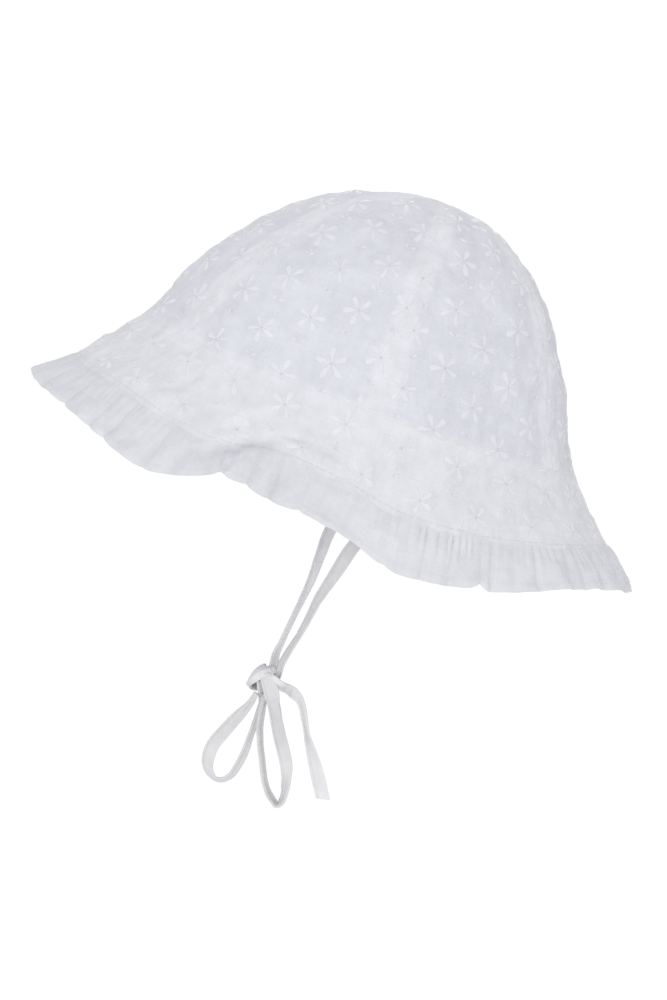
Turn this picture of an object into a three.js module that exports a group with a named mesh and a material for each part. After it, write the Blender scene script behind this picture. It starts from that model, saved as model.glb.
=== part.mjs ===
// A toddler's cotton sun hat: a crown of six sewn panels, a flared brim, a gathered ruffle and two flat
// chin ties knotted in a bow.
// Millimetres, +Z up. The front of the hat is towards -X and is raised, as the hat is worn, and the
// wearer's left is towards -Y. The origin is the centre of the head opening, where crown and brim meet.
import * as THREE from "three";

// Driving dimensions
const TILT = THREE.MathUtils.degToRad(21);
const CLOTH = 1.4;
const RUFFLE_CLOTH = 1.3;
const SEAM_GAP = 0.3;
const STITCH_GAP = 0.7;
const BRIM_WIDTH = 32;
const RUFFLE_WIDTH = 18.5;
const RUFFLE_WAVES = 44;
const RUFFLE_DEPTH = 2.2;
const RUFFLE_PHASE = 30;
const TIE_WIDTH = 5.4;
const TIE_THICKNESS = 1.2;

// The crown's level sections, from the head opening up to the top. Each is an ellipse, and shift is how
// far its centre lies behind the opening's. The last row repeats the one under the top on the far side
// of the axis, so that the top is round.
const CROWN_SECTIONS = [
  { height: 0.0, halfLength: 92.0, halfWidth: 72.0, shift: 0.0 },
  { height: 9.0, halfLength: 87.4, halfWidth: 70.6, shift: -0.4 },
  { height: 18.0, halfLength: 82.8, halfWidth: 68.6, shift: -0.8 },
  { height: 28.0, halfLength: 77.8, halfWidth: 65.6, shift: -1.0 },
  { height: 39.0, halfLength: 71.4, halfWidth: 61.0, shift: -1.0 },
  { height: 50.5, halfLength: 63.0, halfWidth: 54.2, shift: -0.4 },
  { height: 60.5, halfLength: 53.8, halfWidth: 46.4, shift: 0.6 },
  { height: 69.6, halfLength: 43.0, halfWidth: 37.0, shift: 2.0 },
  { height: 76.6, halfLength: 30.0, halfWidth: 26.0, shift: 3.6 },
  { height: 80.8, halfLength: 15.4, halfWidth: 13.2, shift: 4.8 },
  { height: 82.2, halfLength: 0.0, halfWidth: 0.0, shift: 5.6 },
  { height: 80.8, halfLength: -15.4, halfWidth: -13.2, shift: 4.8 },
];
const TOP_ROW = CROWN_SECTIONS.length - 2;
const TOP_RISE = 0.992;

// Angles are in degrees round the crown's axis: 0 is the back, -90 the wearer's left, 90 the right and
// 180 the front. Each panel runs from its first seam to its second.
const CROWN_PANELS = [
  { name: "crown_panel_back", from: -29, to: 29 },
  { name: "crown_panel_back_right", from: 29, to: 86 },
  { name: "crown_panel_front_right", from: 86, to: 144 },
  { name: "crown_panel_front", from: 144, to: 216 },
  { name: "crown_panel_front_left", from: 216, to: 274 },
  { name: "crown_panel_back_left", from: 274, to: 331 },
];
const PANEL_COLUMNS = 9;
const PANEL_ROWS = 11;

// How far the brim points down, in degrees under the plane of the head opening, at the seam and at the
// hem, and how wide it is there against its nominal width. One row every 30 degrees from the front.
const BRIM_DROOP = [
  { seam: 52, hem: 45, width: 1.0 },
  { seam: 57, hem: 51, width: 1.01 },
  { seam: 65, hem: 60, width: 1.05 },
  { seam: 68, hem: 66, width: 0.98 },
  { seam: 66, hem: 64, width: 1.04 },
  { seam: 52, hem: 38, width: 0.98 },
  { seam: 48, hem: 30, width: 0.97 },
  { seam: 52, hem: 38, width: 0.98 },
  { seam: 66, hem: 64, width: 1.04 },
  { seam: 68, hem: 66, width: 1.0 },
  { seam: 65, hem: 60, width: 1.05 },
  { seam: 57, hem: 51, width: 1.01 },
];
const DROOP_STEP = 360 / BRIM_DROOP.length;

// The brim's folds. angle is where a fold meets the hem, and sweep how far it has turned where it would
// meet the seam, along a curve of that power. inward and lift are its depth and rise at the hem, and
// before and after its half widths in degrees. It begins at the share start of the way to the hem.
const BRIM_FOLDS = [
  { angle: -113, sweep: 48, curve: 2, inward: 14, lift: 5, before: 6.8, after: 20, start: 0.22 },
  { angle: -127, sweep: 40, curve: 2, inward: -6, lift: -1.5, before: 14, after: 9, start: 0.15 },
  { angle: -80, sweep: -18, curve: 1, inward: 5, lift: 0, before: 8, after: 8, start: 0.2 },
  { angle: -72, sweep: -10, curve: 1, inward: -4, lift: -4, before: 10, after: 16, start: 0.3 },
  { angle: 110, sweep: -40, curve: 2, inward: 12, lift: 3, before: 18, after: 7, start: 0.2 },
  { angle: 124, sweep: -32, curve: 2, inward: -5, lift: -1.5, before: 9, after: 14, start: 0.15 },
  { angle: 78, sweep: 18, curve: 1, inward: 5, lift: 1, before: 8, after: 9, start: 0.2 },
];
const BRIM_ROWS = 4;
const RUFFLE_ROWS = 3;
const SAMPLES_PER_WAVE = 4;
const HEM_COLUMNS = RUFFLE_WAVES * SAMPLES_PER_WAVE;

// The centre lines of the ties and of the bow's loops and ends. The columns are x, y, z, the turn of the
// tape about its own line in degrees, 0 facing the wearer's side, and its width as a share of the tie's.
const TIE_LEFT = [
  [20.2, -66.5, -0.6, -13, 1],
  [19.1, -67.1, -5.9, -13, 1],
  [16.9, -65.6, -13.5, -11, 1],
  [12.6, -60.6, -25.5, -7, 1],
  [7.2, -53.6, -38.0, -3, 1],
  [1.4, -46.4, -49.6, 2, 1],
  [-4.4, -39.6, -58.6, 10, 1],
  [-9.2, -32.6, -67.0, 22, 1],
  [-16.7, -22.0, -80.3, 40, 0.95],
  [-23.6, -11.6, -94.8, 52, 0.9],
  [-28.8, -6.2, -103.8, 50, 0.8],
  [-31.4, -4.2, -107.7, 45, 0.7],
  [-33.8, -2.3, -111.3, 40, 0.5],
];
const TIE_RIGHT = [
  [20.2, 66.5, -0.6, 13, 1],
  [19.1, 67.1, -5.9, 13, 1],
  [16.0, 65.4, -13.5, 11, 1],
  [9.6, 61.0, -25.5, 7, 1],
  [2.6, 54.4, -38.0, 3, 1],
  [-4.4, 47.6, -48.6, -4, 1],
  [-12.0, 40.0, -60.6, -12, 1],
  [-16.0, 32.6, -69.8, -24, 0.95],
  [-20.8, 22.0, -81.0, -38, 0.95],
  [-26.2, 12.6, -91.2, -50, 0.9],
  [-31.0, 7.0, -100.6, -52, 0.8],
  [-33.8, 4.9, -106.0, -48, 0.7],
  [-35.9, 3.0, -110.4, -40, 0.5],
];
const LOOP_FRONT = [
  [-41.4, -2.4, -121.6, 70, 0.5],
  [-44.8, -2.2, -126.2, 50, 0.7],
  [-49.5, 0.4, -131.7, 25, 0.95],
  [-54.6, 2.6, -137.6, 10, 1],
  [-59.3, 4.0, -143.4, 5, 1],
  [-61.6, 5.0, -149.1, 15, 1],
  [-61.7, 6.0, -154.0, 40, 0.95],
  [-59.5, 7.0, -158.1, 60, 0.9],
  [-55.7, 7.6, -159.0, 60, 0.9],
  [-51.9, 7.6, -156.6, 55, 0.9],
  [-48.9, 7.0, -151.3, 50, 0.9],
  [-46.3, 6.0, -145.5, 55, 0.9],
  [-44.1, 4.8, -139.5, 60, 0.85],
  [-41.9, 3.8, -132.8, 55, 0.8],
  [-39.6, 3.0, -125.8, 50, 0.65],
  [-38.8, 2.6, -121.8, 50, 0.5],
];
const LOOP_BACK = [
  [-36.0, -3.6, -120.4, 0, 0.6],
  [-34.6, -7.0, -126.2, 0, 0.9],
  [-32.4, -11.4, -136.4, 0, 1],
  [-30.9, -14.0, -141.9, 5, 1],
  [-29.5, -15.0, -148.4, 25, 1],
  [-29.5, -15.0, -153.9, 45, 0.95],
  [-30.1, -14.0, -159.2, 60, 0.9],
  [-31.6, -13.0, -163.6, 70, 0.85],
  [-33.6, -12.0, -165.0, 75, 0.85],
  [-35.4, -11.0, -163.2, 70, 0.85],
  [-37.2, -10.0, -160.0, 70, 0.85],
  [-38.6, -9.0, -155.0, 70, 0.85],
  [-39.3, -8.0, -148.6, 70, 0.85],
  [-40.1, -6.6, -141.4, 70, 0.85],
  [-40.4, -5.2, -135.0, 65, 0.8],
  [-39.6, -3.6, -128.6, 60, 0.65],
  [-38.6, -1.4, -122.3, 55, 0.4],
];
const TAIL_FRONT = [
  [-31.2, -1.8, -117.5, 30, 0.5],
  [-29.2, -4.0, -119.2, 25, 0.85],
  [-26.4, -6.2, -120.8, 20, 0.95],
  [-24.2, -7.2, -123.0, 45, 0.9],
  [-22.9, -7.8, -126.4, 60, 0.85],
  [-22.2, -8.0, -130.4, 62, 0.85],
  [-21.5, -8.0, -135.1, 70, 0.85],
  [-20.8, -8.2, -139.4, 60, 0.9],
  [-19.3, -9.0, -144.6, 35, 1],
  [-17.6, -9.8, -151.0, 15, 1],
  [-16.1, -10.0, -157.6, 5, 1],
  [-14.9, -10.0, -163.4, 0, 1],
];
const TAIL_BACK = [
  [-35.2, 3.3, -120.6, 30, 0.5],
  [-34.4, 5.4, -125.0, 25, 0.8],
  [-33.4, 7.4, -131.4, 15, 0.95],
  [-32.6, 8.8, -138.4, 10, 1],
  [-31.4, 9.6, -145.0, 5, 1],
  [-30.6, 9.8, -151.4, 0, 1],
  [-30.2, 9.2, -157.2, 0, 1],
  [-30.4, 8.2, -162.4, 0, 1],
];
const STEPS_PER_SPAN = 2;
const TAPE_SECTION = [
  [0.5, -0.25],
  [0.5, 0.25],
  [0.4, 0.5],
  [-0.4, 0.5],
  [-0.5, 0.25],
  [-0.5, -0.25],
  [-0.4, -0.5],
  [0.4, -0.5],
];
const KNOT_CENTRE = new THREE.Vector3(-38, 0, -115.6);
const KNOT_RADII = new THREE.Vector3(6.4, 5.2, 6);

const crownCloth = new THREE.MeshStandardMaterial({ color: 0xdcdde6, roughness: 0.92, metalness: 0 });
const brimCloth = new THREE.MeshStandardMaterial({ color: 0xe2e0e4, roughness: 0.92, metalness: 0 });
const tieCloth = new THREE.MeshStandardMaterial({ color: 0xdedee0, roughness: 0.9, metalness: 0 });

// Catmull-Rom through four values, at a share of the way from the second to the third.
function blend(before, from, to, after, share) {
  const pull = (to - before) * share;
  const bend = (2 * before - 5 * from + 4 * to - after) * share ** 2;
  const twist = (3 * from - before - 3 * to + after) * share ** 3;
  return 0.5 * (2 * from + pull + bend + twist);
}

// One named column of an open table, at a row number that may lie between two rows.
function columnAt(rows, key, position) {
  const row = Math.min(Math.floor(position), rows.length - 2);
  const from = rows[row][key];
  const to = rows[row + 1][key];
  const before = row > 0 ? rows[row - 1][key] : 2 * from - to;
  const after = row + 2 < rows.length ? rows[row + 2][key] : 2 * to - from;
  return blend(before, from, to, after, position - row);
}

// The same for a table that runs once round the hat.
function columnRound(rows, key, position) {
  const row = Math.floor(position);
  const value = (offset) => rows[(row + offset + rows.length) % rows.length][key];
  return blend(value(-1), value(0), value(1), value(2), position - row);
}

// 0 to 1 with level ends.
function ease(share) {
  const inside = THREE.MathUtils.clamp(share, 0, 1);
  return inside * inside * (3 - 2 * inside);
}

// The signed angle between two directions, from -180 to 180 degrees.
function turnBetween(from, to) {
  return THREE.MathUtils.euclideanModulo(to - from + 180, 360) - 180;
}

// A point of the crown's outside, rise 0 at the head opening to 1 at the top.
function crownPoint(angle, rise) {
  const position = rise * TOP_ROW;
  const turn = THREE.MathUtils.degToRad(angle);
  const x = columnAt(CROWN_SECTIONS, "shift", position)
    + columnAt(CROWN_SECTIONS, "halfLength", position) * Math.cos(turn);
  const y = columnAt(CROWN_SECTIONS, "halfWidth", position) * Math.sin(turn);
  return new THREE.Vector3(x, y, columnAt(CROWN_SECTIONS, "height", position));
}

// How far the folds push the brim inward and up at a point of it.
function foldsAt(angle, reach) {
  let inward = 0;
  let lift = 0;
  for (const fold of BRIM_FOLDS) {
    const line = fold.angle + fold.sweep * (1 - reach) ** fold.curve;
    const off = turnBetween(line, angle);
    const width = off < 0 ? fold.before : fold.after;
    const depth = Math.exp(-((off / width) ** 2)) * ease((reach - fold.start) / (1 - fold.start));
    inward += fold.inward * depth;
    lift += fold.lift * depth;
  }
  return { inward, lift };
}

// A point of the brim's outside, reach 0 at the crown to 1 at the ruffle's hem.
function brimPoint(angle, reach) {
  const turn = THREE.MathUtils.degToRad(angle);
  const position = THREE.MathUtils.euclideanModulo(angle + 180, 360) / DROOP_STEP;
  const seamDroop = columnRound(BRIM_DROOP, "seam", position);
  const hemDroop = columnRound(BRIM_DROOP, "hem", position);
  const droop = THREE.MathUtils.degToRad(seamDroop + (hemDroop - seamDroop) * reach / 2);
  const length = (BRIM_WIDTH + RUFFLE_WIDTH) * columnRound(BRIM_DROOP, "width", position) * reach;
  const { inward, lift } = foldsAt(angle, reach);
  const opening = CROWN_SECTIONS[0];
  const outward = new THREE.Vector3(
    Math.cos(turn) / opening.halfLength,
    Math.sin(turn) / opening.halfWidth,
    0,
  ).normalize();
  const point = crownPoint(angle, 0).addScaledVector(outward, length * Math.cos(droop) - inward);
  point.z += lift - length * Math.sin(droop);
  return point;
}

// The side of a surface that faces out, from its slopes round the hat and up it.
function outsideOf(surface, angle, rise) {
  const step = 0.001;
  const round = surface(angle + step, rise).sub(surface(angle - step, rise));
  const low = Math.max(rise - step, 0);
  const high = Math.min(rise + step, 1);
  const up = surface(angle, high).sub(surface(angle, low));
  return round.cross(up).normalize();
}

// A cloth wall: the surface's points and the same points one thickness further in, closed along the
// edges. columns gives the angles of a row, and rises the rows from the lowest up.
function clothWall(surface, columns, rises, thickness, isRing) {
  const positions = [];
  const count = columns(rises[0]).length;
  for (const inset of [0, thickness]) {
    for (const rise of rises) {
      for (const angle of columns(rise)) {
        const point = surface(angle, rise).addScaledVector(outsideOf(surface, angle, rise), -inset);
        positions.push(point.x, point.y, point.z);
      }
    }
  }
  const index = [];
  const quad = (a, b, c, d) => index.push(a, b, c, a, c, d);
  const layer = rises.length * count;
  const at = (row, column) => row * count + (column % count);
  const columnQuads = isRing ? count : count - 1;
  const top = rises.length - 1;
  for (let column = 0; column < columnQuads; column += 1) {
    const next = column + 1;
    for (let row = 0; row < top; row += 1) {
      const outer = [at(row, column), at(row, next), at(row + 1, next), at(row + 1, column)];
      quad(...outer);
      quad(...outer.map((vertex) => vertex + layer).reverse());
    }
    quad(at(0, next), at(0, column), at(0, column) + layer, at(0, next) + layer);
    quad(at(top, column), at(top, next), at(top, next) + layer, at(top, column) + layer);
  }
  if (!isRing) {
    const last = count - 1;
    for (let row = 0; row < top; row += 1) {
      quad(at(row, 0), at(row + 1, 0), at(row + 1, 0) + layer, at(row, 0) + layer);
      quad(at(row + 1, last), at(row, last), at(row, last) + layer, at(row + 1, last) + layer);
    }
  }
  return indexedGeometry(positions, index);
}

function indexedGeometry(positions, index) {
  const geometry = new THREE.BufferGeometry();
  geometry.setAttribute("position", new THREE.Float32BufferAttribute(positions, 3));
  geometry.setIndex(index);
  geometry.computeVertexNormals();
  return geometry;
}

// count + 1 even steps from one value to another.
function evenly(from, to, count) {
  return Array.from({ length: count + 1 }, (_, step) => from + (to - from) * step / count);
}

// One crown panel, half a seam gap clear of each neighbour all the way up.
function crownPanel(panel) {
  const columns = (rise) => {
    const arc = crownPoint(panel.from + 0.5, rise).distanceTo(crownPoint(panel.from - 0.5, rise));
    const clear = SEAM_GAP / 2 / arc;
    return evenly(panel.from + clear, panel.to - clear, PANEL_COLUMNS);
  };
  return clothWall(crownPoint, columns, evenly(0, TOP_RISE, PANEL_ROWS), CLOTH, false);
}

// The brim, one ring from just under the crown to the ruffle's stitch line.
function brimRing() {
  const total = BRIM_WIDTH + RUFFLE_WIDTH;
  const surface = (angle, rise) => brimPoint(angle, 1 - rise);
  const columns = () => evenly(-180, 180, HEM_COLUMNS).slice(0, -1);
  const rises = evenly(1 - BRIM_WIDTH / total, 1 - SEAM_GAP / total, BRIM_ROWS);
  return clothWall(surface, columns, rises, CLOTH, true);
}

// The ruffle, whose waves grow from nothing at the stitch line to their full depth at the hem.
function ruffleRing() {
  const total = BRIM_WIDTH + RUFFLE_WIDTH;
  const stitched = (BRIM_WIDTH + STITCH_GAP) / total;
  const plain = (angle, rise) => brimPoint(angle, 1 - rise);
  const surface = (angle, rise) => {
    const growth = ease((1 - rise - stitched) / (1 - stitched));
    const wave = Math.sin(THREE.MathUtils.degToRad(angle * RUFFLE_WAVES + RUFFLE_PHASE));
    const push = wave * growth * RUFFLE_DEPTH;
    return plain(angle, rise).addScaledVector(outsideOf(plain, angle, rise), push);
  };
  const columns = () => evenly(-180, 180, HEM_COLUMNS).slice(0, -1);
  return clothWall(surface, columns, evenly(0, 1 - stitched, RUFFLE_ROWS), RUFFLE_CLOTH, true);
}

// A flat tape along a route, with eight corners all the way.
function tape(route) {
  const rowAt = (position) => [0, 1, 2, 3, 4].map((key) => columnAt(route, key, position));
  const count = (route.length - 1) * STEPS_PER_SPAN;
  const rows = evenly(0, route.length - 1, count).map(rowAt);
  const points = rows.map(([x, y, z]) => new THREE.Vector3(x, y, z));
  const positions = [];
  rows.forEach(([, , , turn, share], step) => {
    const ahead = points[Math.min(step + 1, count)];
    const behind = points[Math.max(step - 1, 0)];
    const along = ahead.clone().sub(behind).normalize();
    const across = along.clone().cross(new THREE.Vector3(0, 1, 0)).normalize();
    across.applyAxisAngle(along, THREE.MathUtils.degToRad(turn));
    const facing = along.clone().cross(across);
    for (const [side, face] of TAPE_SECTION) {
      const corner = points[step].clone()
        .addScaledVector(across, side * TIE_WIDTH * share)
        .addScaledVector(facing, face * TIE_THICKNESS);
      positions.push(corner.x, corner.y, corner.z);
    }
  });
  const corners = TAPE_SECTION.length;
  const index = [];
  for (let step = 0; step < count; step += 1) {
    for (let corner = 0; corner < corners; corner += 1) {
      const a = step * corners + corner;
      const b = step * corners + (corner + 1) % corners;
      index.push(a, b, b + corners, a, b + corners, a + corners);
    }
  }
  const end = count * corners;
  for (let corner = 1; corner < corners - 1; corner += 1) {
    index.push(0, corner + 1, corner);
    index.push(end, end + corner, end + corner + 1);
  }
  return indexedGeometry(positions, index);
}

// The knot, an egg that fills the wraps of cloth.
function knot() {
  const geometry = new THREE.SphereGeometry(1, 16, 10);
  geometry.scale(KNOT_RADII.x, KNOT_RADII.y, KNOT_RADII.z);
  return geometry;
}

function namedMesh(name, geometry, material) {
  const mesh = new THREE.Mesh(geometry, material.clone());
  mesh.name = name;
  return mesh;
}

// The sewn hat, modelled upright and turned about the cross axis so that its front is raised.
const sewnHat = new THREE.Group();
for (const panel of CROWN_PANELS) {
  sewnHat.add(namedMesh(panel.name, crownPanel(panel), crownCloth));
}
sewnHat.add(namedMesh("brim", brimRing(), brimCloth));
sewnHat.add(namedMesh("ruffle", ruffleRing(), brimCloth));
sewnHat.rotation.y = TILT;

// The ties and the bow, which hang straight down whatever the hat's tilt.
const bow = new THREE.Group();
bow.add(namedMesh("tie_left", tape(TIE_LEFT), tieCloth));
bow.add(namedMesh("tie_right", tape(TIE_RIGHT), tieCloth));
bow.add(namedMesh("bow_loop_front", tape(LOOP_FRONT), tieCloth));
bow.add(namedMesh("bow_loop_back", tape(LOOP_BACK), tieCloth));
bow.add(namedMesh("bow_tail_front", tape(TAIL_FRONT), tieCloth));
bow.add(namedMesh("bow_tail_back", tape(TAIL_BACK), tieCloth));
const bowKnot = namedMesh("bow_knot", knot(), tieCloth);
bowKnot.position.copy(KNOT_CENTRE);
bow.add(bowKnot);

const sunHat = new THREE.Group();
sunHat.add(sewnHat, bow);

export default sunHat;
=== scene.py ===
"""A toddler's white cotton sun hat, in metres, in the CAD model's frame.

The front of the hat is towards -X, the wearer's left towards -Y. Hat surfaces are worked out upright and
then tilted about the cross axis, and the ties and the bow hang in the row frame.
"""

import bpy
import numpy as np
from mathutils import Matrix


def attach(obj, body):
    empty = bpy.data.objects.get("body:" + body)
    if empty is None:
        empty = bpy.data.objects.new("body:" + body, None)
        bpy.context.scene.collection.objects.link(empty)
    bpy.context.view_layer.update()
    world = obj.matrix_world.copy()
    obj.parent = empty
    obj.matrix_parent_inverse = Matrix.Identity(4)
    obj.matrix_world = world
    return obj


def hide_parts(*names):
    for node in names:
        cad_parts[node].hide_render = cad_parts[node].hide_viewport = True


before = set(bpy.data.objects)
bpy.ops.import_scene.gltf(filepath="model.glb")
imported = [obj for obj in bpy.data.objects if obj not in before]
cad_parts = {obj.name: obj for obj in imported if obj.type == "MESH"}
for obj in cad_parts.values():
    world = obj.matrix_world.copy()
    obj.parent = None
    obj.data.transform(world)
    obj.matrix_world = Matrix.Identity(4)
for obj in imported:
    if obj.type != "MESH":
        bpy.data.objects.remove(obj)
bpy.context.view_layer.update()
ORIGIN_TILT = np.radians(21)

BRIM_WIDTH, RUFFLE_WIDTH = 0.032, 0.0185
FULL_WIDTH = BRIM_WIDTH + RUFFLE_WIDTH
TIE_WIDTH, TIE_THICKNESS = 0.0054, 0.0009
# How far the stitch row lies above the brim's edge, and from one stitch to the next.
STITCH_ROW, STITCH_PITCH = 0.0019, 0.0027
# A round figure, a little short, for the crown's climb of 0.120 to 0.137. It only sets how far up from the
# head seam the cloth's facing is blended.
CLIMB_FOR_BLEND = 0.115
SHARP_EDGE = 55  # degrees between two faces
CREASE_UNSEEN = 9.0  # farther than any point of the hat is from a crease
EVERYWHERE = (-999, 999, 0, 1)
# Cloth: how far a turned hem reaches in, and how far a seam's allowance does.
HEM_FOLD, ALLOWANCE = 0.0031, 0.0072
# The crown's ovals: height, half length, half width, and how far forward or back the middle lies.
CROWN_SECTIONS = np.array([
    (0.0, 0.092, 0.072, 0.0), (0.009, 0.0874, 0.0706, -0.0004), (0.018, 0.0828, 0.0686, -0.0008),
    (0.028, 0.0778, 0.0656, -0.001), (0.039, 0.0714, 0.061, -0.001), (0.0505, 0.063, 0.0542, -0.0004),
    (0.0605, 0.0538, 0.0464, 0.0006), (0.0696, 0.043, 0.037, 0.002), (0.0766, 0.03, 0.026, 0.0036),
    (0.0808, 0.0154, 0.0132, 0.0048), (0.0822, 0.0, 0.0, 0.0056), (0.0808, -0.0154, -0.0132, 0.0048),
])
# Round the brim from the front: the droop in degrees at the crown and at the hem, and the length's share.
BRIM_DROOP = np.array([
    (52, 45, 1), (57, 51, 1.01), (65, 60, 1.05), (68, 66, 0.98), (66, 64, 1.04), (52, 38, 0.98),
    (48, 30, 0.97), (52, 38, 0.98), (66, 64, 1.04), (68, 66, 1), (65, 60, 1.05), (57, 51, 1.01),
], float)
# The brim's folds: the angle, its sweep and the sweep's curve, how deep and how high, the widths before and
# after it in degrees, and where down the brim it starts.
BRIM_FOLDS = (
    (-113, 48, 2, 0.014, 0.005, 6.8, 20, 0.22), (-127, 40, 2, -0.006, -0.0015, 14, 9, 0.15),
    (-80, -18, 1, 0.005, 0.0, 8, 8, 0.2), (-72, -10, 1, -0.004, -0.004, 10, 16, 0.3),
    (110, -40, 2, 0.012, 0.003, 18, 7, 0.2), (124, -32, 2, -0.005, -0.0015, 9, 14, 0.15),
    (78, 18, 1, 0.005, 0.001, 8, 9, 0.2),
)
# Creases pressed into the brim: how far each stands out, its half width, and its places, as degrees round
# the hat and millimetres below the crown's edge.
BRIM_CREASES = (
    (-0.0011, 0.0028, ((-122.4, 39.0), (-121.4, 35.7), (-119.6, 30.1), (-117.0, 26.0), (-112.8, 21.4),
                       (-108.9, 15.0), (-105.8, 9.1))),
    (0.0009, 0.0026, ((-116.8, 22.4), (-114.5, 17.2), (-111.2, 12.0), (-107.5, 7.2))),
    (-0.0015, 0.0020, ((-108.2, 24.4), (-104.8, 22.6), (-101.2, 23.4), (-97.5, 25.4), (-93.9, 25.4),
                       (-90.0, 26.1), (-86.2, 26.6), (-83.5, 26.6))),
    (-0.0013, 0.0020, ((-84.6, 13.5), (-82.5, 18.7), (-81.6, 24.2), (-81.4, 28.8), (-78.8, 28.6))),
    (0.0006, 0.0020, ((-80.1, 11.3), (-78.0, 17.5), (-76.6, 22.4))),
    (-0.0009, 0.0020, ((-137.5, 26.6), (-134.2, 21.0), (-132.1, 16.2), (-128.4, 10.9), (-120.9, 3.9))),
    (-0.0007, 0.0017, ((-66.4, 20.9), (-63.0, 17.3), (-60.1, 13.0), (-57.0, 10.1))),
    (-0.0011, 0.0026, ((-48.8, 5.2), (-42.5, 3.5), (-36.5, 4.7), (-32.5, 7.1), (-30.9, 11.8), (-25.2, 15.8),
                       (-10.0, 17.3))),
    (-0.0007, 0.0020, ((-101.9, 14.1), (-97.1, 14.1), (-92.2, 14.5), (-86.8, 12.0))),
    (-0.0009, 0.0024, ((70.0, 8.0), (76.0, 15.0), (80.0, 24.0))),
    (-0.0010, 0.0026, ((118.0, 24.0), (112.0, 15.0), (103.0, 9.0))),
    (-0.0008, 0.0022, ((20.0, 12.0), (32.0, 8.0), (44.0, 14.0))),
    (-0.0008, 0.0024, ((168.0, 10.0), (180.0, 15.0), (193.0, 12.0))),
)
# The routes of the ties and the bow: x, y, z, the tape's turn in degrees, and its width as a share.
TIE_LEFT = (
    (0.0202, -0.0665, -0.0006, -13, 1), (0.0191, -0.0671, -0.0059, -13, 1),
    (0.0169, -0.0656, -0.0135, -11, 1), (0.0126, -0.0606, -0.0255, -7, 1), (0.0072, -0.0536, -0.038, -3, 1),
    (0.0014, -0.0464, -0.0496, 2, 1), (-0.0044, -0.0396, -0.0586, 10, 1), (-0.0092, -0.0326, -0.067, 24, 1),
    (-0.0167, -0.022, -0.0803, 52, 0.95), (-0.0236, -0.0116, -0.0948, 66, 0.9),
    (-0.0288, -0.0062, -0.1038, 62, 0.85), (-0.0314, -0.0042, -0.1077, 45, 0.7),
    (-0.0338, -0.0023, -0.1113, 40, 0.5),
)
TIE_RIGHT = (
    (0.0202, 0.0665, -0.0006, 13, 1), (0.0191, 0.0671, -0.0059, 13, 1), (0.016, 0.0654, -0.0135, 11, 1),
    (0.0096, 0.061, -0.0255, 7, 1), (0.0026, 0.0544, -0.038, 3, 1), (-0.0044, 0.0476, -0.0486, -6, 1),
    (-0.012, 0.04, -0.0606, -18, 1), (-0.016, 0.0326, -0.0698, -32, 0.98),
    (-0.0208, 0.022, -0.081, -52, 0.95), (-0.0262, 0.0126, -0.0912, -66, 0.9),
    (-0.031, 0.007, -0.1006, -66, 0.85), (-0.0338, 0.0049, -0.106, -58, 0.8),
    (-0.0359, 0.003, -0.1104, -40, 0.5),
)
LOOP_FRONT = (
    (-0.0414, -0.0024, -0.1216, 70, 0.5), (-0.0448, -0.0022, -0.1262, 50, 0.7),
    (-0.0495, 0.0004, -0.1317, 25, 0.95), (-0.0546, 0.0026, -0.1376, 10, 1),
    (-0.0593, 0.004, -0.1434, 5, 1), (-0.0616, 0.005, -0.1491, 15, 1), (-0.0617, 0.006, -0.154, 40, 0.95),
    (-0.0595, 0.007, -0.1581, 60, 0.9), (-0.0557, 0.0076, -0.159, 60, 0.9),
    (-0.0519, 0.0076, -0.1566, 55, 0.9), (-0.0489, 0.007, -0.1513, 50, 0.9),
    (-0.0463, 0.006, -0.1455, 55, 0.9), (-0.0441, 0.0048, -0.1395, 60, 0.85),
    (-0.0419, 0.0038, -0.1328, 55, 0.8), (-0.0396, 0.003, -0.1258, 50, 0.65),
    (-0.0388, 0.0026, -0.1218, 50, 0.5),
)
LOOP_BACK = (
    (-0.036, -0.0036, -0.1204, 0, 0.6), (-0.0346, -0.007, -0.1262, 0, 0.9),
    (-0.0324, -0.0114, -0.1364, 0, 1), (-0.0309, -0.014, -0.1419, 5, 1), (-0.0295, -0.015, -0.1484, 25, 1),
    (-0.0295, -0.015, -0.1539, 45, 0.95), (-0.0301, -0.014, -0.1592, 60, 0.9),
    (-0.0316, -0.013, -0.1636, 70, 0.85), (-0.0336, -0.012, -0.165, 75, 0.85),
    (-0.0354, -0.011, -0.1632, 70, 0.85), (-0.0372, -0.01, -0.16, 70, 0.85),
    (-0.0386, -0.009, -0.155, 70, 0.85), (-0.0393, -0.008, -0.1486, 70, 0.85),
    (-0.0401, -0.0066, -0.1414, 70, 0.85), (-0.0404, -0.0052, -0.135, 65, 0.8),
    (-0.0396, -0.0036, -0.1286, 60, 0.65), (-0.0386, -0.0014, -0.1223, 55, 0.4),
)
TAIL_FRONT = (
    (-0.0312, -0.0018, -0.1175, 30, 0.5), (-0.0292, -0.004, -0.1192, 25, 0.85),
    (-0.0264, -0.0062, -0.1208, 20, 0.95), (-0.0242, -0.0072, -0.123, 45, 0.9),
    (-0.0229, -0.0078, -0.1264, 60, 0.85), (-0.0222, -0.008, -0.1304, 62, 0.85),
    (-0.0215, -0.008, -0.1351, 70, 0.85), (-0.0208, -0.0082, -0.1394, 60, 0.9),
    (-0.0193, -0.009, -0.1446, 35, 1), (-0.0176, -0.0098, -0.151, 15, 1), (-0.0161, -0.01, -0.1576, 5, 1),
    (-0.0149, -0.01, -0.1634, 0, 1),
)
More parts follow.
